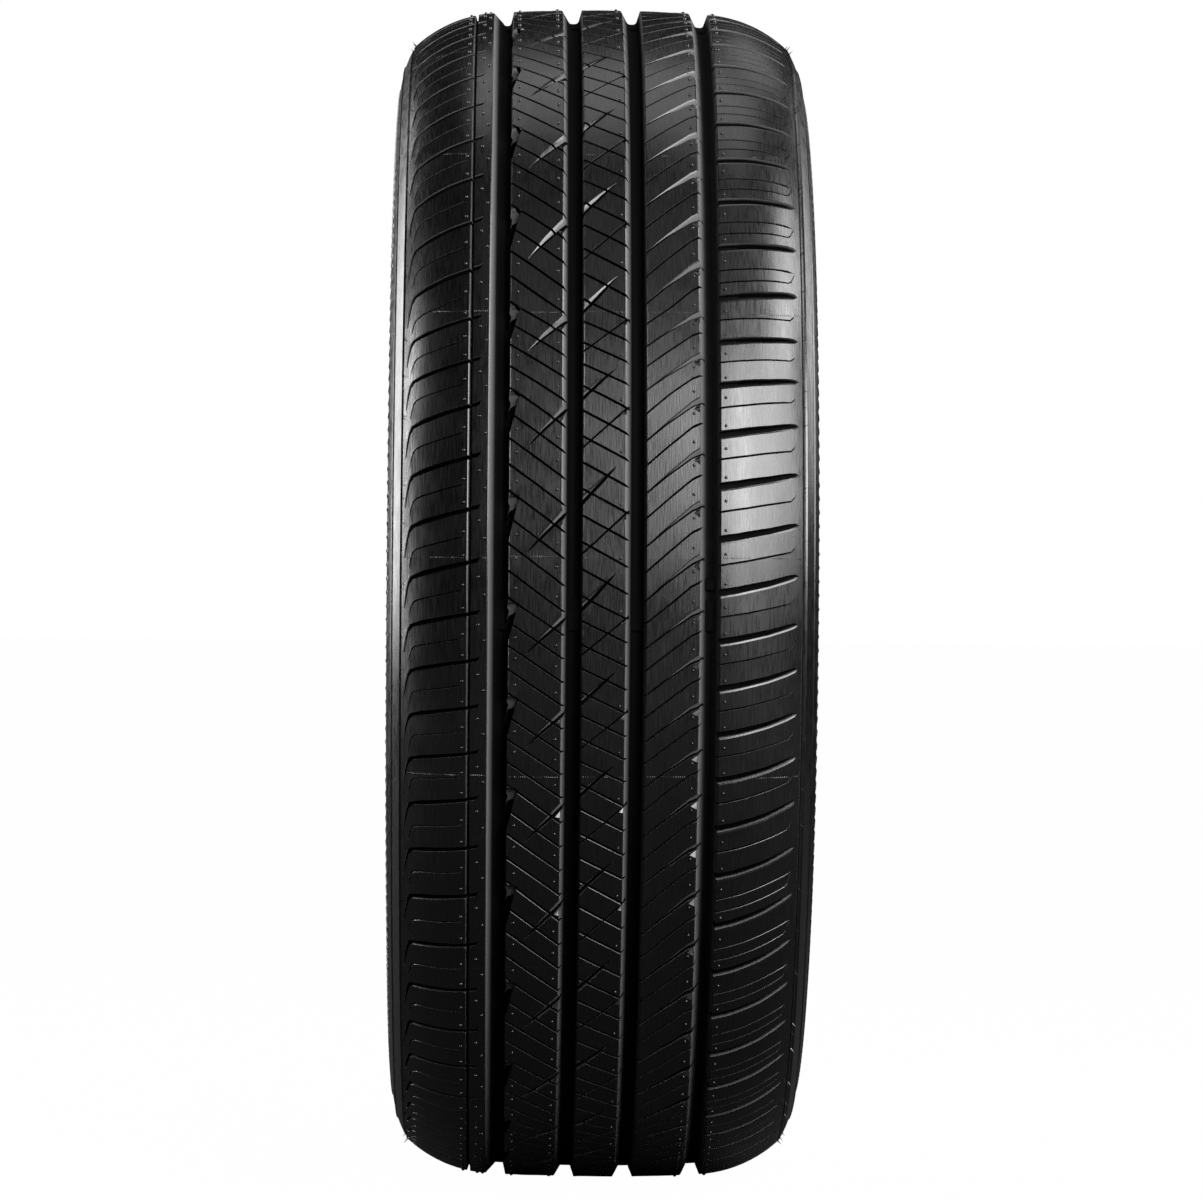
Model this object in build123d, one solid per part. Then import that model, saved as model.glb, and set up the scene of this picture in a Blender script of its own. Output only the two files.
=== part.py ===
"""A passenger-car tyre, moulded in one piece: casing, two beads and a grooved, slotted tread.

The wheel's axis is +Y, its centre is the origin and +Z is up; the tyre stands on its tread.
Sizes are in millimetres and angles in degrees. A point of the section is (across, radius),
where across is the distance along the axis. A place round the tread is an angle from +X to +Z.
"""
import os
from math import cos, radians, sin, sqrt, tan

from build123d import *

# Overall size
outer_diameter = 679.3
seat_diameter = 436.6  # where the beads grip the rim
rim_width = 177.8  # between the outer faces of the beads
contact_flat = 3.0  # how far the tread is pressed flat where it stands

# Ribs and grooves, from the middle of the tread outwards
crown_radius = 950.0  # curve of the tread across its width
centre_rib_width = 22.5
groove_width = 11.3
middle_rib_width = 28.0
groove_depth = 8.0
right_draft = 16.0  # lean of the right wall of a groove
left_draft = 28.0  # lean of its left wall
wide_draft = 38.0  # lean of the left wall of the leftmost groove

# Shoulders and sidewalls
tread_width = 215.4  # between the outer edges of the shoulder ribs
shoulder_drop = 21.9  # fall of the tread from its crown to those edges
sidewall_bulge = 8.8  # swell of the sidewall past the tread's edge
widest_height = 64.0  # height of the widest place above the bead seat
foot_height = 28.5  # height of the sidewall's foot above the bead seat
foot_flare = 18.8  # overhang of that foot past the bead face

# Beads
bead_width = 18.0
bead_face_height = 10.5
flange_curl_width = 7.0  # hollow above the bead face, where the rim flange curls out
flange_curl_height = 9.0

# Inside of the casing
crown_thickness = 17.0
sidewall_thickness = 9.0
corner_width = 27.5  # bevel between the liner's flat and the inner sidewall
corner_height = 25.0

# Shoulder slots: the pitches follow each other in three lengths, as on a quiet-running tread
pitch_order = "LLSMMSSMLLLSMSMMSLMSSMLMMSLSMSMLSMLLL"
pitch_length = {"S": 0.885, "M": 1.0, "L": 1.135}  # relative to each other
first_pitch_angle = 48.9
slots_per_pitch = 2
slot_depth = 6.0
slot_width = 4.8  # at the inner end
slot_land = 3.0  # rubber left between a groove and a slot
slot_reach = 0.66  # share of the shoulder's curve at which a slot runs out
right_slot_phase = -0.10  # place of a slot's inner end in its pitch
right_slot_climb = 8.0  # from the inner end to the tip
left_slot_phase = 0.10
left_slot_climb = -7.0

# How finely the rounded stretches are stepped; straight runs keep the ring light
shoulder_runs = 3
sidewall_runs = 4

outer_radius = outer_diameter / 2
seat_radius = seat_diameter / 2
rim_half = rim_width / 2
tread_half = tread_width / 2
section_half = tread_half + sidewall_bulge

# Edges of the grooves, as distances from the middle of the tread
inner_groove = centre_rib_width / 2
inner_groove_end = inner_groove + groove_width
outer_groove = inner_groove_end + middle_rib_width
outer_groove_end = outer_groove + groove_width


def crown_height(across):
    """Radius of the crown at a distance from the middle of the tread."""
    return outer_radius - crown_radius + sqrt(crown_radius**2 - across**2)


def crown_point(across):
    """Point of the section on the crown."""
    return Vector(across, crown_height(across))


def stepped(curve, runs):
    """Evenly spaced points along a curve of the section."""
    return [curve @ (step / runs) for step in range(runs + 1)]


# Half of the outer section: the shoulder leaves the crown at the crown's own slope, and the
# sidewall is one arc from the tread's edge over the widest place to its foot
tread_edge = Vector(tread_half, outer_radius - shoulder_drop)
shoulder = TangentArc(
    crown_point(outer_groove_end),
    tread_edge,
    tangent=(crown_height(outer_groove_end) - outer_radius + crown_radius, -outer_groove_end),
)
widest = Vector(section_half, seat_radius + widest_height)
foot = Vector(rim_half + foot_flare, seat_radius + foot_height)
sidewall = ThreePointArc(tread_edge, widest, foot)
bead_top = seat_radius + bead_face_height
outside = [
    *[crown_point(edge) for edge in (inner_groove, inner_groove_end, outer_groove)],
    *stepped(shoulder, shoulder_runs),
    *stepped(sidewall, sidewall_runs)[1:],
    Vector(rim_half + flange_curl_width, bead_top + flange_curl_height),
    Vector(rim_half, bead_top),
    Vector(rim_half, seat_radius),
]

# Half of the inner section, from the toe of the bead up to the liner
liner_radius = outer_radius - crown_thickness
inner_wall = section_half - sidewall_thickness
inside = [
    Vector(rim_half - bead_width, seat_radius),
    Vector(inner_wall, widest.Y - sidewall_thickness),
    Vector(inner_wall, liner_radius - corner_height),
    Vector(inner_wall - corner_width, liner_radius),
]
right_half = outside + inside
left_half = [Vector(-point.X, point.Y) for point in reversed(right_half)]
section = make_face(Polyline(*right_half, *left_half, close=True))


def groove(start, end, start_draft, end_draft):
    """Section of a groove between two edges of the crown, open above."""
    floor = crown_height((start + end) / 2) - groove_depth
    top = outer_radius + groove_depth
    corners = []
    for edge, lean in ((start, tan(radians(start_draft))), (end, -tan(radians(end_draft)))):
        fall = crown_height(edge) - floor
        corners.append([(edge - lean * (top - floor - fall), top), (edge + lean * fall, floor)])
    (top_start, floor_start), (top_end, floor_end) = corners
    return make_face(Polyline(top_start, floor_start, floor_end, top_end, close=True))


section -= groove(-outer_groove_end, -outer_groove, wide_draft, right_draft)
section -= groove(-inner_groove_end, -inner_groove, left_draft, right_draft)
section -= groove(inner_groove, inner_groove_end, left_draft, right_draft)
section -= groove(outer_groove, outer_groove_end, left_draft, right_draft)
casing = revolve(Plane.YZ * section, Axis.Y)


def slot(side, angle, climb):
    """Keel-shaped cutter of a shoulder slot: deepest at the inner end, running out at its tip.

    side is 1 for the right shoulder and -1 for the left one.
    """
    upward = Vector(cos(radians(angle)), 0, sin(radians(angle)))
    onward = Vector(-sin(radians(angle)), 0, cos(radians(angle)))
    start = outer_groove_end + slot_land
    keel = crown_height(start) - slot_depth
    top = outer_radius + slot_depth
    half_width = slot_width / 2 * (top - keel) / slot_depth
    tip = shoulder @ slot_reach
    run = Vector(0, side * (tip.X - start), 0) + upward * (tip.Y - keel) + onward * climb
    plane = Plane(origin=(0, side * start, 0), x_dir=onward, z_dir=(0, 1, 0))
    profile = plane * make_face(Polyline((-half_width, top), (0, keel), (half_width, top), close=True))
    return loft([profile, Pos(run) * profile], ruled=True)


# The pitches are counted downwards from the first one
slots = []
turn = sum(pitch_length[pitch] for pitch in pitch_order)
passed = 0.0
for pitch in pitch_order:
    for place in range(slots_per_pitch):
        for side, phase, climb in (
            (1, right_slot_phase, right_slot_climb),
            (-1, left_slot_phase, left_slot_climb),
        ):
            share = place / slots_per_pitch + phase
            angle = first_pitch_angle - 360 * (passed + share * pitch_length[pitch]) / turn
            slots.append(slot(side, angle, climb))
    passed += pitch_length[pitch]

# The patch it stands on is pressed flat
ground = Box(outer_diameter, outer_diameter, outer_radius, align=(Align.CENTER, Align.CENTER, Align.MAX))
tyre = casing - slots - Pos(0, 0, contact_flat - outer_radius) * ground

os.makedirs("parts", exist_ok=True)
export_step(tyre, "parts/tyre.step")
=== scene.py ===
"""A passenger-car tyre standing on its tread in a white studio.

Lengths are in millimetres until a mesh is made. The wheel's axis is +Y, +Z is up and the camera
is at +X. Across the tread, s runs from the left shoulder to the right one. Round the tread, u
runs downwards past the camera, in the length of a middle pitch.
"""

import math
from types import SimpleNamespace

import bpy
import numpy as np
from mathutils import Matrix, Vector
from mathutils.geometry import delaunay_2d_cdt


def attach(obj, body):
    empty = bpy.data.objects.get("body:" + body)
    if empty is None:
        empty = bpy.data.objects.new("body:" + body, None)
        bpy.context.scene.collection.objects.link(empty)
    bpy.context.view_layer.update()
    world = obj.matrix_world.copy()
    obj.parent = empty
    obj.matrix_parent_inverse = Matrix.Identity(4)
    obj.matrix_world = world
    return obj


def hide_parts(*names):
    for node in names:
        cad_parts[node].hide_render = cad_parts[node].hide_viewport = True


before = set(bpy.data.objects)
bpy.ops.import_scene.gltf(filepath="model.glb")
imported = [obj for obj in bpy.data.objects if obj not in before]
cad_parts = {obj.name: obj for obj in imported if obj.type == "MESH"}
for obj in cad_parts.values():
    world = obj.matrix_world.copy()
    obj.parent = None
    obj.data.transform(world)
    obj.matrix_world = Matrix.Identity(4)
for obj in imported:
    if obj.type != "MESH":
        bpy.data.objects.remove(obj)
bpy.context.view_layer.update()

# Tyre: casing, beads, sidewalls and tread, cured in a mould as one piece of black rubber. It stands
# on a patch of its tread that is pressed flat. The crown and the shoulders of the tread are arcs
# that meet at one slope.
outer_radius = 339.65
contact_flat = 3.0
crown_radius = 950.0
crown_half = 61.85  # where the crown meets the shoulders
edge_y, edge_r = 107.7, outer_radius - 21.9  # outer edge of a shoulder

crown_slope = crown_half / crown_radius
crown_normal = np.array([crown_slope, math.sqrt(1 - crown_slope**2)])
crown_end = np.array([crown_half, outer_radius - crown_radius + crown_radius * crown_normal[1]])
to_edge = np.array([edge_y, edge_r]) - crown_end
shoulder_radius = -to_edge @ to_edge / (2 * to_edge @ crown_normal)
shoulder_centre = crown_end - shoulder_radius * crown_normal


def tread_surface(s):
    """Radius and outward normal of the plain tread at the places s across it."""
    side, reach = np.sign(s), np.abs(s)
    on_crown = reach <= crown_half
    sine = np.where(on_crown, reach / crown_radius, (reach - shoulder_centre[0]) / shoulder_radius)
    cosine = np.sqrt(1 - sine**2)
    radius = np.where(
        on_crown,
        outer_radius - crown_radius + crown_radius * cosine,
        shoulder_centre[1] + shoulder_radius * cosine,
    )
    return radius, side * sine, cosine


# The pattern repeats in pitches of three lengths, so that the tyre runs quietly. They are counted
# downwards from the first one.
pitch_order = "LLSMMSSMLLLSMSMMSLMSSMLMMSLSMSMLSMLLL"
pitch_length = {"S": 0.885, "M": 1.0, "L": 1.135}
first_pitch_angle = 48.9
unit = 57.3  # a pitch on the flat sheet, whatever its length on the tyre
pitches = len(pitch_order)
pitch_ends = np.concatenate([[0.0], np.cumsum([pitch_length[kind] for kind in pitch_order])])


def angle_at(count):
    """Angle about the axis after a count of pitches, which may be a fraction."""
    turns = np.floor(count / pitches)
    share = np.interp(count - turns * pitches, np.arange(pitches + 1), pitch_ends) / pitch_ends[-1]
    return math.radians(first_pitch_angle) - 2 * math.pi * (turns + share)


def ring_points(angle, y, r):
    """Points in metres, pressed flat where the tyre stands."""
    z = np.maximum(r * np.sin(angle), contact_flat - outer_radius)
    return np.stack([r * np.cos(angle), np.broadcast_to(y, z.shape), z], axis=-1) / 1000


def tread_points(count, s, depth):
    """Points of the tread in metres, at a depth below its plain surface."""
    radius, across, outward = tread_surface(s)
    return ring_points(angle_at(count), s - depth * across, radius - depth * outward)


# Four broad grooves run round the tread. Their walls lean and end in a rounded foot. A thin groove
# runs along the left shoulder, and a shallow one along the right edge.
groove_edges = [  # left edge, right edge and the lean of each wall in degrees
    (-61.85, -50.55, 38.0, 16.0),
    (-22.55, -11.25, 28.0, 16.0),
    (11.25, 22.55, 28.0, 16.0),
    (50.55, 61.85, 28.0, 16.0),
]
groove_depth = 8.0
straight_wall = 6.4  # depth down to which a wall is straight
widest_foot = 2.6
floor_half = 0.2  # half of the flat floor that is left at least
left_rounding, right_rounding = 0.4, 0.15
thin_groove = [(-73.1, 0.0), (-72.6, 0.4), (-72.3, 3.4), (-71.1, 3.4), (-70.8, 0.0)]
edge_groove = [(105.9, 0.0), (106.15, 0.8), (106.5, 0.8), (106.75, 0.0)]

lean_at = {}
groove_shape = [(-edge_y, 0.0), *thin_groove]
for start, end, start_lean, end_lean in groove_edges:
    lean_at[start], lean_at[end] = (math.tan(math.radians(lean)) for lean in (start_lean, end_lean))
    room = (end - start - straight_wall * (lean_at[start] + lean_at[end])) / 2 - floor_half
    foot = min(room, widest_foot)
    for edge, inward, rounding in ((start, 1, left_rounding), (end, -1, right_rounding)):
        lean = lean_at[edge]
        wall = [
            (-rounding, 0.0),
            (0.6 * rounding * lean, rounding),
            (straight_wall * lean, straight_wall),
            (straight_wall * lean + 0.3 * foot, 7.4),
            (straight_wall * lean + foot, groove_depth),
        ]
        groove_shape += [(edge + inward * across, depth) for across, depth in wall[::inward]]
groove_shape += [*edge_groove, (edge_y, 0.0)]
groove_s, groove_d = np.array(groove_shape).T

# Slots, notches and fine sipes cross the ribs and repeat with the pitch.
slots = []


def slot(stations, walls, kinds="SML", painted_shade=1, brim=(0.14, 0.14)):
    """Adds a cut across the tread to every pitch of the given kinds.

    A station is (s, u, half width along u, depth). The walls are the widths of the slopes on its
    upper and its lower side. An end on a groove's edge runs out in that groove's wall. The brim is
    the width and depth of the bevel on the lower edge. Painted shade is how many times the depth counts
    for the rubber's tone, which is painted darker down a cut. It counts several times in a narrow cut,
    which is painted black because hardly any light gets in.
    """
    rows = [np.array(row, float) for row in stations]
    opens = [stations[end][0] in lean_at for end in (0, -1)]
    for end in (0, -1):
        if opens[end]:
            outer, inner = (rows[0], rows[1]) if end == 0 else (rows[-1], rows[-2])
            step = outer[3] * lean_at[stations[end][0]] * np.sign(outer[0] - inner[0])
            mouth = outer.copy()
            mouth[:2] += (outer[:2] - inner[:2]) * step / (outer[0] - inner[0])
            rows.insert(0 if end == 0 else len(rows), mouth)
    table = np.array(rows)
    half = table[:, 2]
    lower_edge = half - np.minimum(brim[0], half / 2)
    fit = np.minimum(1, (half + lower_edge) / sum(walls))
    offsets = [-half, walls[0] * fit - half, lower_edge - walls[1] * fit, lower_edge, half]
    slots.append((table[:, [0, 1, 3]], np.column_stack(offsets), opens, kinds, painted_shade, brim[1]))


def sipe(stations, kinds="SML"):
    """Adds a fine cut with a steep upper wall and a floor that rises to the lower edge, painted black
    inside as shade.
    """
    slot(stations, walls=(0.3, 4.0), kinds=kinds, painted_shade=12)


def cut_off_corner(stations, wall):
    """Adds a glossy facet where the sharp corner of a block on a groove's edge is cut off."""
    slot(stations, walls=(wall, wall), painted_shade=0)


for tip in (5.9, 34.55):  # twice in a pitch
    # Left shoulder: a hooked slot that dies away along the tread's edge, and a sipe beside it
    slot(
        [
            (-65.6, tip - 2.4, 0.0, 1.0),
            (-67.2, tip - 0.3, 1.3, 4.5),
            (-73.5, tip + 1.4, 1.35, 5.5),
            (-85.0, tip + 3.8, 1.5, 5.5),
            (-96.8, tip + 6.8, 1.6, 5.0),
            (-101.6, tip + 8.6, 1.3, 3.0),
            (-103.6, tip + 10.6, 2.2, 1.8),
            (-104.7, tip + 14.6, 3.4, 1.6),
            (-105.9, tip + 22.4, 3.8, 1.4),
            (-106.5, tip + 26.8, 0.0, 0.0),
        ],
        walls=(0.7, 0.5),
        painted_shade=6,
        brim=(0.3, 0.45),
    )
    sipe(
        [
            (-74.5, tip + 15.8, 0.0, 1.5),
            (-77.0, tip + 16.3, 0.45, 3.0),
            (-97.5, tip + 20.9, 0.48, 2.6),
            (-100.8, tip + 22.3, 0.6, 1.5),
            (-102.4, tip + 24.6, 1.1, 1.2),
            (-103.5, tip + 29.4, 1.9, 1.1),
            (-104.1, tip + 33.0, 0.0, 0.0),
        ]
    )
    # Rib right of the middle: wedges that narrow to the left, each with a cut along its lower side
    # that is painted dark as shade, and the corner below it cut off, and a sipe between them
    slot(
        [
            (50.55, tip - 2.3, 2.3, 2.2),
            (46.5, tip - 0.1, 2.0, 2.0),
            (33.0, tip + 11.0, 1.0, 1.2),
            (22.55, tip + 20.4, 0.6, 0.8),
        ],
        walls=(2.6, 0.2),
        painted_shade=0.8,
    )
    sipe(
        [
            (50.55, tip - 0.7, 0.75, 5.0),
            (46.5, tip + 1.2, 0.7, 5.0),
            (33.0, tip + 11.4, 0.7, 4.6),
            (22.55, tip + 20.4, 0.7, 4.2),
        ]
    )
    cut_off_corner([(50.55, tip + 1.3, 3.3, 2.6), (47.3, tip + 2.8, 0.0, 0.0)], wall=3.2)
    sipe(
        [
            (50.55, tip + 10.9, 0.75, 4.2),
            (46.5, tip + 12.9, 0.75, 4.2),
            (33.0, tip + 24.5, 0.75, 4.2),
            (22.55, tip + 33.9, 0.75, 4.2),
        ]
    )
    # Right shoulder: broad slots, shallow at their tie bars, with a hooked sipe between them, or
    # in the long pitches two sipes that meet in a point
    slot(
        [
            (61.85, tip - 11.9, 2.6, 3.4),
            (70.8, tip - 13.4, 2.5, 3.6),
            (73.4, tip - 14.0, 2.5, 5.0),
            (88.0, tip - 17.2, 2.3, 5.0),
            (98.5, tip - 20.4, 2.1, 3.6),
            (102.2, tip - 21.6, 1.6, 2.4),
            (104.0, tip - 22.2, 0.0, 1.6),
        ],
        walls=(0.6, 0.5),
        painted_shade=2.5,
        brim=(1.0, 0.3),
    )
    sipe(
        [
            (61.85, tip + 1.6, 0.6, 4.0),
            (76.0, tip - 0.9, 0.6, 4.0),
            (92.0, tip - 4.6, 0.58, 3.6),
            (99.6, tip - 6.6, 0.5, 1.8),
            (101.6, tip - 9.2, 0.6, 1.0),
            (102.4, tip - 12.0, 0.0, 0.6),
        ],
        kinds="SM",
    )
    sipe(
        [
            (61.85, tip + 1.2, 0.5, 4.0),
            (76.0, tip - 1.3, 0.5, 4.0),
            (92.0, tip - 5.0, 0.5, 3.6),
            (99.0, tip - 6.5, 0.7, 2.2),
            (102.6, tip - 6.9, 0.0, 0.6),
        ],
        kinds="L",
    )
    sipe(
        [
            (61.85, tip + 8.2, 0.5, 4.0),
            (76.0, tip + 5.7, 0.5, 4.0),
            (92.0, tip + 2.0, 0.5, 3.4),
            (99.2, tip + 0.3, 0.4, 1.8),
            (100.6, tip - 1.0, 0.6, 1.4),
            (102.3, tip - 5.6, 0.7, 1.0),
            (102.7, tip - 7.2, 0.0, 0.6),
        ],
        kinds="L",
    )

# Rib left of the middle: four sipes to a pitch, a tapered cut from the right with a facet along its
# upper side and the corner below it cut off, and a notch in two steps in the left edge
for step in range(4):
    start = -2.8 + step * unit / 4
    sipe([(-50.55, start, 0.9, 4.2), (-22.55, start + 21.0, 0.9, 4.2)])
slot(
    [(-22.55, 9.4, 3.3, 2.4), (-33.0, 20.4, 2.3, 1.7), (-41.8, 30.7, 0.0, 0.0)],
    walls=(4.9, 0.2),
    painted_shade=0.6,
)
sipe([(-22.55, 11.3, 1.4, 6.0), (-33.0, 21.5, 1.2, 5.5), (-40.2, 29.1, 0.5, 3.0), (-41.5, 30.5, 0.0, 0.0)])
cut_off_corner([(-22.55, 12.6, 2.9, 2.3), (-24.9, 15.0, 0.0, 0.0)], wall=2.8)
slot(
    [(-50.55, 10.5, 11.5, 3.6), (-46.2, 1.2, 2.2, 3.2), (-44.7, 0.2, 0.0, 0.0)],
    walls=(1.0, 0.6),
    painted_shade=0.75,
)
slot(
    [(-50.55, 14.7, 7.2, 7.6), (-47.7, 7.6, 1.6, 6.4), (-46.9, 5.7, 0.0, 0.0)],
    walls=(0.6, 0.3),
    painted_shade=4,
)

# Middle rib: four sipes to a pitch, a tapered cut from the left with a facet along its upper side,
# and a long fine one with the corner at its right end cut off
for step in range(4):
    start = -3.8 + step * unit / 4
    sipe([(-11.25, start, 0.85, 4.2), (11.25, start + 12.2, 0.85, 4.2)])
slot(
    [(-11.25, 1.5, 2.9, 2.2), (-2.0, -8.0, 2.0, 1.6), (6.6, -17.0, 0.0, 0.0)],
    walls=(3.8, 0.2),
    painted_shade=0.6,
)
sipe([(-11.25, 2.7, 1.7, 6.0), (-2.0, -7.4, 1.4, 5.5), (4.8, -14.8, 0.6, 3.0), (6.3, -16.6, 0.0, 0.0)])
sipe([(-11.25, 30.2, 0.8, 3.6), (0.0, 19.7, 0.8, 3.6), (11.25, 9.1, 0.9, 3.6)])
cut_off_corner([(11.25, 10.1, 2.4, 1.9), (9.2, 11.9, 0.0, 0.0)], wall=2.4)

# Painted shade in the grooves: their depth counts for the tone more in the leftmost groove, less in the
# rightmost one, and evenly between
groove_middles = (-56.2, 56.2)
groove_painted_shade = (1.2, 0.62)


def tread_depth(u, s, kind):
    """Depth of grooves and cuts at places in one pitch, and the depth that counts for the rubber's painted
    shade.
    """
    depth = np.interp(s, groove_s, groove_d)
    shade = depth * np.interp(s, groove_middles, groove_painted_shade)
    for table, offsets, opens, kinds, painted_shade, bevel in slots:
        if kind not in kinds:
            continue
        order = np.argsort(table[:, 0])
        at = table[order, 0]
        middle, full = (np.interp(s, at, table[order, k]) for k in (1, 2))
        edges = (np.interp(s, at, column) for column in offsets[order].T)
        top, floor_top, floor_end, lower_edge, end = edges
        within = (s >= at[0] - 1e-4) & (s <= at[-1] + 1e-4)
        for shift in (-unit, 0.0, unit):
            place = u - middle - shift
            upper = full * np.clip((place - top) / np.maximum(floor_top - top, 1e-6), 0, 1)
            brim = np.minimum(bevel, full / 2)
            slope = brim * np.clip((end - place) / np.maximum(end - lower_edge, 1e-6), 0, 1)
            wall = np.clip((lower_edge - place) / np.maximum(lower_edge - floor_end, 1e-6), 0, 1)
            cut = np.where(within, np.minimum(upper, slope + (full - brim) * wall), 0)
            depth = np.maximum(depth, cut)
            shade = np.maximum(shade, painted_shade * np.where(place < floor_end, cut, cut - brim))
    return depth, shade


# One pitch of each length is cut as a flat sheet of triangles. A sheet starts where every cut that
# crosses its end edges is in all three kinds, so that any sheet joins any other.
sheet_start = -9.5
sheet_end = sheet_start + unit
lines_per_pitch = 4
closeness = 0.004  # how near a point lies to the edge that it is on
shoulder_lines = np.linspace(crown_half, edge_y, 12)[1:-1]
rib_lines = (-66.5, -36.5, 0.0, 36.5)
lines_round = sorted({*groove_s, *shoulder_lines, *-shoulder_lines, *rib_lines})
lines_across = np.linspace(sheet_start, sheet_end, lines_per_pitch + 1)


def cut_sheet(kind):
    """One pitch as a flat sheet, with the points on its two end edges in order of s.

    A triangle's painted shade is the depth at its corners, times what the depth at its middle counts.
    """
    lines = [[(sheet_start, s), (sheet_end, s)] for s in lines_round]
    lines += [[(u, -edge_y), (u, edge_y)] for u in lines_across]
    for table, offsets, opens, kinds, _, _ in slots:
        if kind not in kinds:
            continue
        kept = range(1 if opens[0] else 0, len(table) - (1 if opens[1] else 0))
        for shift in (-unit, 0.0, unit):
            rows = [[(u + offset + shift, s) for offset in row] for (s, u, _), row in zip(table, offsets)]
            lines += [[row[1] for row in rows], [row[2] for row in rows]]
            for side, floor in ((0, 1), (3, 2), (4, 2)):
                outline = [rows[k][side] for k in kept]
                if opens[0]:
                    outline.insert(0, rows[0][floor])
                if opens[1]:
                    outline.append(rows[-1][floor])
                lines.append(outline)
            lines += [rows[k] for k in kept]
    corners = [Vector(point) for line in lines for point in line]
    edges = []
    first = 0
    for line in lines:
        edges += [(first + k, first + k + 1) for k in range(len(line) - 1)]
        first += len(line)
    points, _, faces, _, _, _ = delaunay_2d_cdt(corners, edges, [], 0, 0.002, False)
    points = np.array([tuple(point) for point in points])
    faces = np.array(list(faces))
    centres = points[faces].mean(axis=1)
    faces = faces[(centres[:, 0] > sheet_start) & (centres[:, 0] < sheet_end)]
    used = np.unique(faces)
    faces = np.searchsorted(used, faces)
    points = points[used]
    ends = []
    for end in (sheet_start, sheet_end):
        on_end = np.flatnonzero(np.abs(points[:, 0] - end) < closeness)
        ends.append(on_end[np.argsort(points[on_end, 1])])
    depths, _ = tread_depth(points[:, 0], points[:, 1], kind)
    middle, counted = tread_depth(*points[faces].mean(axis=1).T, kind)
    return SimpleNamespace(
        points=points,
        depths=depths,
        faces=faces,
        painted_shades=depths[faces] * (counted / np.maximum(middle, 1e-6))[:, None],
        first=ends[0],
        last=ends[1],
        own=np.setdiff1d(np.arange(len(points)), ends[1]),
    )


# The sheets are laid round the tyre. The points on a sheet's last edge are those on the first edge
# of the next one.
sheets = {kind: cut_sheet(kind) for kind in pitch_length}
laid = [sheets[kind] for kind in pitch_order]
starts = np.concatenate([[0], np.cumsum([len(sheet.own) for sheet in laid])])
vertices = []
triangles = []
painted_shades = []
rib_tops = []
tread_edges = ([], [])
for pitch, sheet in enumerate(laid):
    after = (pitch + 1) % pitches
    place = np.zeros(len(sheet.points), int)
    place[sheet.own] = starts[pitch] + np.arange(len(sheet.own))
    place[sheet.last] = starts[after] + np.searchsorted(laid[after].own, laid[after].first)
    triangles.append(place[sheet.faces])
    u, s = sheet.points[sheet.own].T
    vertices.append(tread_points(pitch + u / unit, s, sheet.depths[sheet.own]))
    painted_shades.append(sheet.painted_shades.ravel())
    rib_tops.append(sheet.depths[sheet.faces].max(axis=1) < 0.02)
    for edge, edge_s in zip(tread_edges, (edge_y, -edge_y)):
        on_edge = sheet.own[np.abs(s - edge_s) < closeness]
        edge.append(place[on_edge[np.argsort(sheet.points[on_edge, 0])]])

# The sidewalls, beads and liner are rings that carry the tread's edges on round the section and
# close it. A sidewall is one arc over the widest place, and its relief is given as places on that
# arc, from 1 at the tread's edge to -1 at its foot, with the height at each.
seat_radius = 218.3
rim_half = 88.9
widest_y, widest_r = 116.5, seat_radius + 64.0
side_centre_y = (widest_y**2 - edge_y**2 - (edge_r - widest_r) ** 2) / (2 * (widest_y - edge_y))
side_radius = widest_y - side_centre_y
side_top = math.asin((edge_r - widest_r) / side_radius)
relief = [(0.985, -0.9), (0.95, -0.9), (0.93, 0.0)]  # step below the tread's edge
relief += [(0.8, 0.1), (0.66, 0.2), (0.645, 0.7), (0.62, 0.7), (0.605, 0.0)]  # upper fine line
relief += [(share, 0.0) for share in (0.45, 0.25, 0.05, -0.15, -0.3)]
relief += [(-0.315, 0.6), (-0.345, 0.6), (-0.36, 0.0), (-0.5, 0.0)]  # lower fine line
relief += [(-0.62, 0.4), (-0.7, 1.8), (-0.78, 2.2), (-0.86, 1.8), (-0.93, 0.6), (-1.0, 0.0)]  # rim rib
bead = [(13.0, 22.6), (7.0, 19.5), (3.2, 16.0), (0.8, 12.4), (0.0, 9.0), (0.0, 2.0), (-0.6, 0.6)]
bead += [(-2.0, 0.0), (-16.0, 0.0), (-17.6, 0.4), (-18.0, 1.6), (-13.0, 11.0)]
liner = [(92.0, 250.0), (101.0, 263.5), (105.5, 272.0), (107.3, 280.0), (107.4, 289.0), (105.6, 298.0)]
liner += [(101.2, 306.0), (94.0, 313.5), (85.0, 319.4), (74.0, 322.4), (40.0, 322.65)]

half_section = []
for share, lift in relief:
    turn = share * side_top
    reach = side_radius + lift
    half_section.append((side_centre_y + reach * math.cos(turn), widest_r + reach * math.sin(turn)))
half_section += [(rim_half + across, seat_radius + rise) for across, rise in bead]
half_section += liner
section = half_section + [(-y, r) for y, r in reversed(half_section)]
around = np.arange(pitches * lines_per_pitch) / lines_per_pitch + sheet_start / unit
for y, r in section:
    vertices.append(ring_points(angle_at(around), y, r))
rings = starts[-1] + np.arange(len(section) * len(around)).reshape(len(section), len(around))
rings = np.vstack([np.concatenate(tread_edges[0]), rings, np.concatenate(tread_edges[1])])
here, onward = rings, np.roll(rings, -1, axis=1)
triangles.append(np.stack([here[:-1], onward[:-1], onward[1:]], axis=-1).reshape(-1, 3))
triangles.append(np.stack([here[:-1], onward[1:], here[1:]], axis=-1).reshape(-1, 3))

tyre_mesh = bpy.data.meshes.new("moulded_tyre")
tyre_mesh.from_pydata(np.concatenate(vertices).tolist(), [], np.concatenate(triangles).tolist())
tyre_mesh.polygons.foreach_set("use_smooth", np.ones(len(tyre_mesh.polygons), bool))
tyre_mesh.set_sharp_from_angle(angle=math.radians(22))

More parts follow.
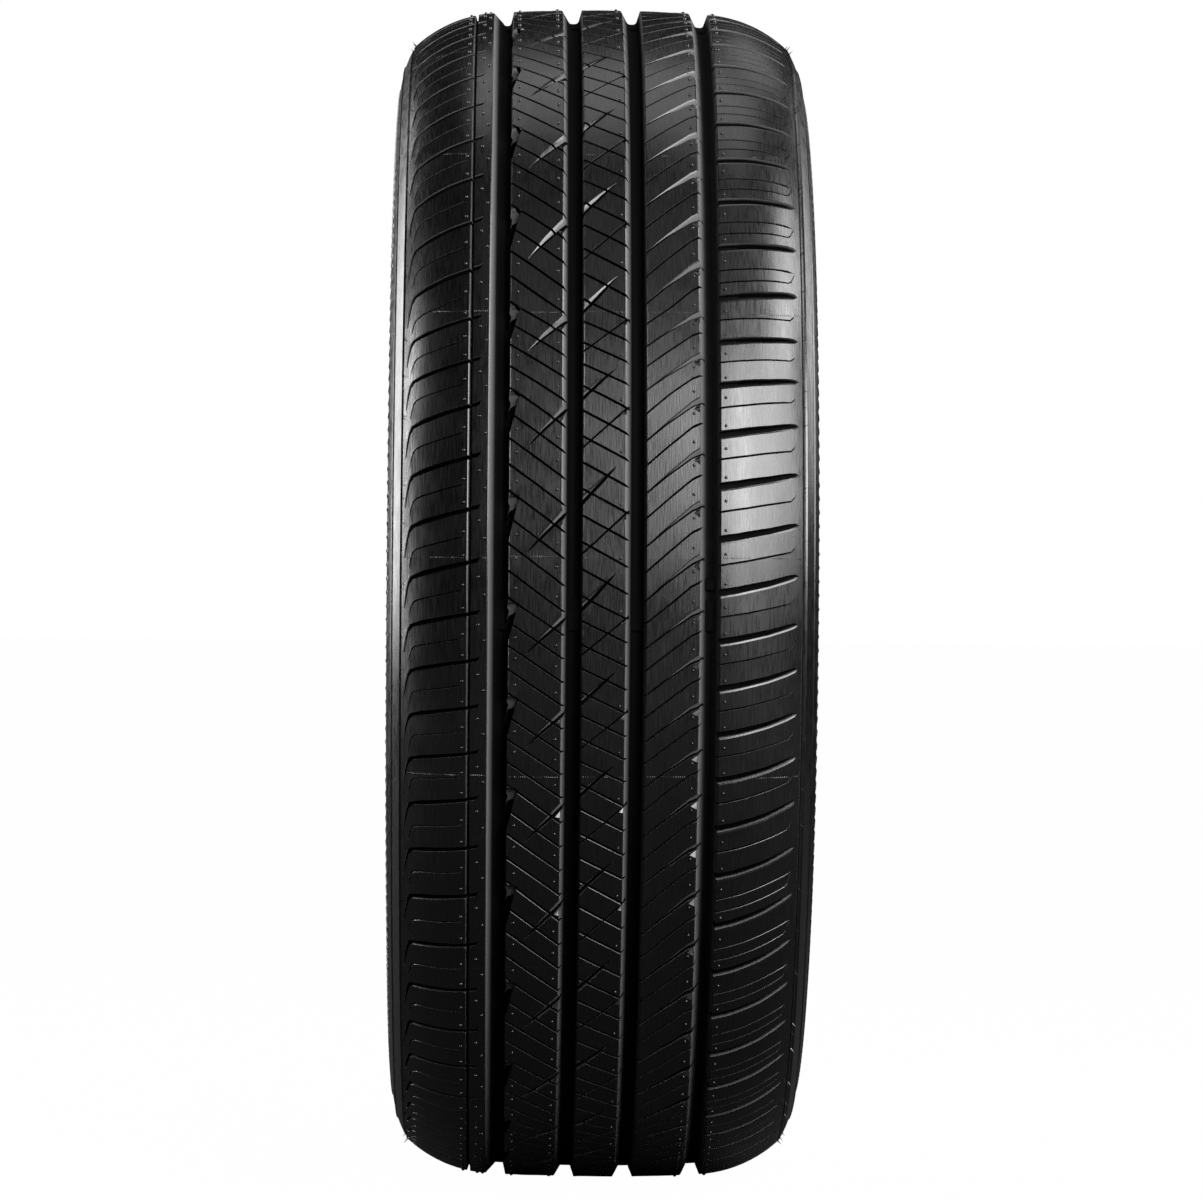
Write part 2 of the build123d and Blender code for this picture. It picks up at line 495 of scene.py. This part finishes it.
# A rib's top is also sharp against every cut, so that it shades evenly up to the edge
on_top = np.ones(len(tyre_mesh.polygons), int)
on_top[: sum(map(len, rib_tops))] = np.concatenate(rib_tops)
edge_of_corner = np.zeros(len(tyre_mesh.loops), int)
tyre_mesh.loops.foreach_get("edge_index", edge_of_corner)
rim = np.bincount(edge_of_corner, weights=np.repeat(on_top, 3)) == 1
sharp = np.zeros(len(tyre_mesh.edges), bool)
tyre_mesh.attributes["sharp_edge"].data.foreach_get("value", sharp)
tyre_mesh.attributes["sharp_edge"].data.foreach_set("value", sharp | rim)

# Per corner, the depth that sets the matte cut finish and the painted shade in the cuts and grooves
cut_shade_depth = np.zeros(len(tyre_mesh.loops), np.float32)
cut_shade_depth[: sum(map(len, painted_shades))] = np.concatenate(painted_shades)
tyre_mesh.attributes.new("cut_shade_depth", "FLOAT", "CORNER").data.foreach_set("value", cut_shade_depth)
tyre = bpy.data.objects.new("moulded_tyre", tyre_mesh)
bpy.context.collection.objects.link(tyre)


class Shade:
    """A socket in the node tree at hand. Arithmetic on it adds Math nodes."""

    tree = None

    def __init__(self, socket):
        self.socket = socket

    @classmethod
    def start(cls, owner):
        """Takes up the node tree of a material or a world, and empties it."""
        owner.use_nodes = True
        cls.tree = owner.node_tree
        cls.tree.nodes.clear()

    @classmethod
    def node(cls, kind, inputs, output=0, **settings):
        """Adds any other node: its settings, the values or links of its sockets, the output used."""
        made = cls.tree.nodes.new(kind)
        for name, value in settings.items():
            setattr(made, name, value)
        for name, value in inputs.items():
            if isinstance(value, cls):
                cls.tree.links.new(value.socket, made.inputs[name])
            else:
                made.inputs[name].default_value = value
        return cls(made.outputs[output]) if made.outputs else None

    def math(self, operation, other):
        return Shade.node("ShaderNodeMath", {0: self, 1: other}, operation=operation)

    def __add__(self, other):
        return self.math("ADD", other)

    def __mul__(self, other):
        return self.math("MULTIPLY", other)

    def __rsub__(self, other):
        return Shade.node("ShaderNodeMath", {0: other, 1: self}, operation="SUBTRACT")

    __radd__ = __add__
    __rmul__ = __mul__

    def between(self, low, high):
        """How far the value has gone from low to high, from 0 to 1."""
        inputs = {"Value": self, "From Min": low, "From Max": high}
        return Shade.node("ShaderNodeMapRange", inputs, "Result")


# The rubber is black with a soft gloss, which fine streaks round the tyre, smudges and a grain break
# up. In a cut it is matte, painted grey near the top to stand in for light on its walls, and painted
# black further down as shade.
rubber = bpy.data.materials.new("tyre_rubber")
Shade.start(rubber)
spot = Shade.node("ShaderNodeTexCoord", {}, "Object")
x, y, z = (Shade.node("ShaderNodeSeparateXYZ", {"Vector": spot}, axis) for axis in "XYZ")
turned = z.math("ARCTAN2", x)
along = Shade.node("ShaderNodeCombineXYZ", {"X": y * 1500.0, "Y": turned * 28.0, "Z": 0.0})
streaks = Shade.node("ShaderNodeTexNoise", {"Vector": along, "Scale": 1.0, "Detail": 2.0}, "Fac")
cloudy = {"Vector": spot, "Scale": 45.0, "Detail": 5.0, "Roughness": 0.62}
smudges = Shade.node("ShaderNodeTexNoise", cloudy, "Fac")
grain = Shade.node("ShaderNodeTexNoise", {"Vector": spot, "Scale": 1300.0, "Detail": 2.0}, "Fac")
cut = Shade.node("ShaderNodeAttribute", {}, "Fac", attribute_name="cut_shade_depth")
inside = cut.between(0.25, 0.65)
depth_shade = cut.between(0.8, 4.8)
patches = smudges.between(0.3, 0.75)
worn = streaks.between(0.3, 0.7)


def rubber_grey(tone):
    """A grey with a trace of blue."""
    return Shade.node("ShaderNodeCombineColor", {"Red": tone, "Green": tone, "Blue": tone * 1.02})


height = streaks * 0.6 + grain * 0.3
bump = Shade.node("ShaderNodeBump", {"Height": height, "Strength": 0.5, "Distance": 0.00012})
skin = Shade.node(
    "ShaderNodeBsdfPrincipled",
    {
        "Base Color": rubber_grey(0.0015 + 0.001 * patches + 0.002 * worn),
        "Roughness": 0.2 + 0.07 * patches + 0.11 * worn,
        "Specular IOR Level": 1.0,
        "Normal": bump,
    },
)
# The cut walls: grey near the top is painted light, and the darkening to black with depth is painted shade
cut_wall = Shade.node(
    "ShaderNodeBsdfPrincipled",
    {"Base Color": rubber_grey(0.138 - 0.137 * depth_shade), "Roughness": 0.8, "Specular IOR Level": 0.1},
)
surface = Shade.node("ShaderNodeMixShader", {"Fac": inside, 1: skin, 2: cut_wall})
Shade.node("ShaderNodeOutputMaterial", {"Surface": surface})
tyre_mesh.materials.append(rubber)
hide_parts("tyre")
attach(tyre, "root")

# Vent pips: stubs under 2 mm across in rows near the edges of the ribs, where the mould's vents let
# air out. They are the tyre's own rubber, trimmed short. Any that would lie on a cut is left out.
vent_rows = [  # s, first place in the pitch and number in a pitch
    (-102.2, 12.6, 2),
    (-75.0, 3.0, 4),
    (-66.8, 13.0, 2),
    (-63.7, 22.5, 2),
    (-47.0, 4.5, 4),
    (-25.4, 9.0, 4),
    (-8.6, 11.5, 4),
    (8.6, 4.2, 4),
    (25.6, 8.0, 4),
    (47.4, 11.0, 4),
    (64.4, 1.5, 4),
    (104.9, 9.0, 2),
]
stagger = 1.6  # of every other pip in a row
pip_rings = [(0.9, 0.2), (0.85, -0.3), (0.62, -0.7), (0.3, -0.9)]  # radius and depth
pip_sides = 8
pip_room = 1.1  # radius that has to be clear of cuts


def moulded_piece(name, shapes, smooth=False, depth=0.0):
    """Adds small moulded shapes of the same rubber as one piece that goes with the tyre.

    A shape is its corners and its faces, and a face is a list of places among the corners. The
    depth is the one that counts for the painted shade on the rubber's tone.
    """
    corners = []
    faces = []
    for shape_corners, shape_faces in shapes:
        faces += [[len(corners) + k for k in face] for face in shape_faces]
        corners += shape_corners.tolist()
    mesh = bpy.data.meshes.new(name)
    mesh.from_pydata(corners, [], faces)
    mesh.polygons.foreach_set("use_smooth", np.full(len(mesh.polygons), smooth))
    depths = np.full(len(mesh.vertices), depth, np.float32)
    mesh.attributes.new("cut_shade_depth", "FLOAT", "POINT").data.foreach_set("value", depths)
    mesh.materials.append(rubber)
    piece = bpy.data.objects.new(name, mesh)
    bpy.context.collection.objects.link(piece)
    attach(piece, "root")


pip_faces = []
for ring in range(len(pip_rings) - 1):
    for k in range(pip_sides):
        here, beside = ring * pip_sides + k, ring * pip_sides + (k + 1) % pip_sides
        pip_faces.append([here, beside, beside + pip_sides, here + pip_sides])
pip_faces.append([(len(pip_rings) - 1) * pip_sides + k for k in range(pip_sides)])
pip_turn = np.arange(pip_sides) * 2 * math.pi / pip_sides
round_u, round_s = np.cos(pip_turn), np.sin(pip_turn)
pips = []
for pitch, kind in enumerate(pitch_order):
    for s, first, number in vent_rows:
        for step in range(number):
            u = first + step * unit / number + step % 2 * stagger
            u = (u - sheet_start) % unit + sheet_start
            if tread_depth(u + pip_room * round_u, s + pip_room * round_s, kind)[0].max() < 0.01:
                corners = []
                for reach, depth in pip_rings:
                    count = pitch + (u + reach * round_u) / unit
                    corners.append(tread_points(count, s + reach * round_s, np.full(pip_sides, depth)))
                pips.append((np.concatenate(corners), pip_faces))
moulded_piece("vent_pips", pips, smooth=True)

# Vent hairs: untrimmed threads of the same rubber, two to four millimetres long, that the outermost
# vents left on the edges of the shoulders. Each is a thin spike that leans a little.
hair_places = (-107.2, 107.2)
hair_radius = 0.25
hairs_per_pitch = 3
hair_turn = np.arange(3) * math.pi * 2 / 3
hair_faces = [[0, 1, 3], [1, 2, 3], [2, 0, 3]]
hairs = []
for number in range(hairs_per_pitch * pitches):
    for s in hair_places:
        count = number / hairs_per_pitch + 0.21 * math.sin(number * 2.4 + s)
        length = 2.2 + 1.6 * math.sin(number * 1.7 + s) ** 2
        lean = 1.2 * math.sin(number * 3.1 + s) / unit
        foot_count = count + hair_radius * np.cos(hair_turn) / unit
        foot = tread_points(foot_count, s + hair_radius * np.sin(hair_turn), np.full(3, 0.1))
        tip = tread_points(np.array([count + lean]), np.array([s]), np.array([-length]))
        hairs.append((np.concatenate([foot, tip]), hair_faces))
moulded_piece("vent_hairs", hairs)

# Mould lines: faint beaded ridges across the ribs, where a little rubber crept between the segments
# of the mould. There is one about every 20 degrees, level across the tread, with small jogs.
mould_angles = [26.4] + [3.2 - 19.9 * number for number in range(17)]
bead_step = 1.15
bead_reach = 0.55
bead_u = bead_reach * np.array([-1, 0, 1, 0, 0])
bead_s = bead_reach * np.array([0, 1, 0, -1, 0])
bead_faces = [[3, 0, 4], [0, 1, 4], [1, 2, 4], [2, 3, 4]]


def count_at(angle):
    """Count of pitches at an angle in degrees."""
    share = (first_pitch_angle - angle) / 360 % 1
    return float(np.interp(share * pitch_ends[-1], pitch_ends, np.arange(pitches + 1)))


flash = []
for number, angle in enumerate(mould_angles):
    count = count_at(angle)
    pitch = math.floor(count - sheet_start / unit)
    kind = pitch_order[pitch % pitches]
    slope = max(-1.0, min(1.0, math.tan(math.radians(angle))))
    for start in np.arange(-107.0, 107.0, bead_step):
        jog = 0.5 * math.sin(3 * number + 4 * np.searchsorted(groove_s, start))
        drop = outer_radius - tread_surface(np.array([start]))[0][0]
        u = (count - pitch) * unit + jog - drop * slope + bead_u
        s = start + bead_s
        if tread_depth(u, s, kind)[0].max() < 0.01:
            depth = np.array([0.05, 0.05, 0.05, 0.05, -0.16 - 0.06 * math.sin(start * 5 + number)])
            flash.append((tread_points(pitch + u / unit, s, depth), bead_faces))
moulded_piece("mould_lines", flash)

# Wear bars: low blocks moulded on the floors of the broad grooves at four places round the tyre,
# which come level with the tread when it is worn. The right groove has a small square as well.
bar_angles = [78.0 - 80 * number for number in range(4)]
bar_half, bar_depth = 9.0, 6.6
square_angle = 0.9
square_half, square_depth = 2.6, 6.0
block_flare = 1.6
block_root = 8.3  # just under the groove's floor
block_sink = 0.3  # into the groove's walls
block_faces = [[k, (k + 1) % 4, (k + 1) % 4 + 4, k + 4] for k in range(4)] + [[4, 5, 6, 7]]
bars = [(angle, edges, bar_half, bar_depth) for angle in bar_angles for edges in groove_edges]
square = (square_angle, groove_edges[3], square_half, square_depth)
blocks = []
for angle, (start, end, start_lean, end_lean), half, depth in [*bars, square]:
    left = start + (depth * math.tan(math.radians(start_lean)) - block_sink)
    right = end - (depth * math.tan(math.radians(end_lean)) - block_sink)
    corners = []
    for reach, low in ((half + block_flare, block_root), (half, depth)):
        u = np.array([-reach, reach, reach, -reach])
        s = np.array([left, left, right, right])
        corners.append(tread_points(count_at(angle) + u / unit, s, np.full(4, low)))
    blocks.append((np.concatenate(corners), block_faces))
# The bars count as deep as the groove's floor, so they take its painted black shade
moulded_piece("wear_bars", blocks, depth=groove_depth)

# Sidewall bands: a ring of fine radial ribs moulded on each sidewall above its widest place, under
# half a millimetre high. They give a bare wall its usual texture.
ribs_round = 240
rib_half, rib_height, rib_sink = 0.32, 0.45, 0.05
rib_faces = [[0, 1, 5, 4], [2, 3, 4, 5], [0, 4, 3], [1, 2, 5]]
ridges = []
for side in (1, -1):
    for number in range(ribs_round):
        across = rib_half * np.array([-1, -1, 1, 1, 0, 0]) * side + number * 360 / ribs_round
        turn = np.array([0.02, 0.3, 0.3, 0.02, 0.04, 0.28]) * side_top
        reach = side_radius + np.array([-rib_sink] * 4 + [rib_height] * 2)
        y, r = side_centre_y + reach * np.cos(turn), widest_r + reach * np.sin(turn)
        ridges.append((ring_points(np.radians(across), side * y, r), rib_faces))
moulded_piece("sidewall_bands", ridges)

# Floor: one sheet of studio paper under the tyre. To the camera it glows almost white and keeps the
# tyre's shadow; to the rubber it is dark, so that the tread's lower half stays black.
floor_half_width = 40
floor_z = (contact_flat - outer_radius) / 1000
floor_sides = ((-1, -1), (1, -1), (1, 1), (-1, 1))
floor_corners = [(floor_half_width * x, floor_half_width * y, floor_z) for x, y in floor_sides]
floor_mesh = bpy.data.meshes.new("floor")
floor_mesh.from_pydata(floor_corners, [], [(0, 1, 2, 3)])
floor = bpy.data.objects.new("floor", floor_mesh)
bpy.context.collection.objects.link(floor)
white = (1, 1, 1, 1)
paper = bpy.data.materials.new("floor_paper")
Shade.start(paper)
dark_paper = {"Base Color": (0.015, 0.015, 0.015, 1), "Roughness": 0.9}
matte = Shade.node("ShaderNodeBsdfPrincipled", dark_paper)
glow = Shade.node("ShaderNodeEmission", {"Color": white, "Strength": 1.1})
bright = Shade.node("ShaderNodeMixShader", {"Fac": 0.9, 1: matte, 2: glow})
to_camera = Shade.node("ShaderNodeLightPath", {}, "Is Camera Ray")
seen = Shade.node("ShaderNodeMixShader", {"Fac": to_camera, 1: matte, 2: bright})
Shade.node("ShaderNodeOutputMaterial", {"Surface": seen})
floor_mesh.materials.append(paper)

# Surround: a white backdrop to the camera, and a dim room to the tyre. Glossy black rubber mirrors
# whatever stands round it, so the room gives it only a trace of light.
world = bpy.data.worlds.new("studio")
bpy.context.scene.world = world
Shade.start(world)
room_light = Shade.node("ShaderNodeBackground", {"Color": white, "Strength": 0.004})
room_gloss = Shade.node("ShaderNodeBackground", {"Color": (0.8, 0.8, 0.8, 1), "Strength": 0.006})
backdrop = Shade.node("ShaderNodeBackground", {"Color": white, "Strength": 1.0})
to_gloss = Shade.node("ShaderNodeLightPath", {}, "Is Glossy Ray")
to_camera = Shade.node("ShaderNodeLightPath", {}, "Is Camera Ray")
room = Shade.node("ShaderNodeMixShader", {"Fac": to_gloss, 1: room_light, 2: room_gloss})
seen = Shade.node("ShaderNodeMixShader", {"Fac": to_camera, 1: room, 2: backdrop})
Shade.node("ShaderNodeOutputWorld", {"Surface": seen})

# Lamps: soft boxes. Four at the right make one broad light that wraps round the right shoulder, a
# strip and a box stand at the left, and weak ones behind and above draw the tread's upper half.
for name, place, aim, width, height, power in (
    ("right front", (2.39, 0.87, 1.05), (0, 0, 0.05), 0.95, 1.7, 40),
    ("right", (1.88, 1.69, 1.05), (0, 0.05, 0.05), 1.45, 1.7, 52),
    ("right side", (0.94, 2.33, 1.1), (0, 0.05, 0.05), 0.95, 1.7, 25),
    ("right high", (0.07, 1.99, 1.67), (0, 0.05, 0.05), 1.2, 0.8, 18),
    ("left", (0.25, -2.5, 0.6), (0, -0.1, 0.1), 0.25, 1.8, 32),
    ("left behind", (-1.3, -1.7, 0.7), (0, -0.1, 0.1), 1.0, 1.6, 26),
    ("right behind", (-1.5, 1.5, 0.8), (0, 0.1, 0.1), 0.7, 1.2, 6),
    ("above", (-0.6, 0.2, 2.2), (0, 0, 0.2), 1.6, 1.0, 4.8),
    ("over right", (-1.2, 0.6, 1.5), (0, 0.05, 0.2), 0.6, 0.6, 0.8),
    ("front high", (1.0, 0.3, 2.0), (0, 0, 0.2), 1.6, 1.2, 0.9),
):
    lamp = bpy.data.lights.new(name, "AREA")
    lamp.shape = "RECTANGLE"
    lamp.size, lamp.size_y = width, height
    lamp.energy = power
    lamp_object = bpy.data.objects.new(name, lamp)
    lamp_object.location = place
    lamp_object.rotation_euler = (Vector(aim) - Vector(place)).to_track_quat("-Z", "Y").to_euler()
    bpy.context.collection.objects.link(lamp_object)

# Camera: level with the wheel's centre and almost square to the tread, with a long lens. Its places
# in the picture are pixels of a frame 1203 wide.
frame_width = 1203
camera_distance = 3.6
turn = math.radians(-0.727)
roll = math.radians(0.436)
camera = bpy.data.cameras.new("camera")
camera.sensor_width = 36
camera.lens = 6155 / frame_width * camera.sensor_width
camera.shift_x = 5.4 / frame_width
camera.shift_y = -6.25 / frame_width
camera.clip_end = 200
back = Vector((math.cos(turn), math.sin(turn), 0))
level = Vector((-math.sin(turn), math.cos(turn), 0))
upright = Vector((0, 0, 1))
right = level * math.cos(roll) + upright * math.sin(roll)
up = upright * math.cos(roll) - level * math.sin(roll)
facing = Matrix((right, up, back)).transposed().to_4x4()
camera_object = bpy.data.objects.new("camera", camera)
camera_object.matrix_world = Matrix.Translation(back * camera_distance) @ facing
bpy.context.collection.objects.link(camera_object)
bpy.context.scene.camera = camera_object
bpy.context.scene.view_settings.view_transform = "Standard"
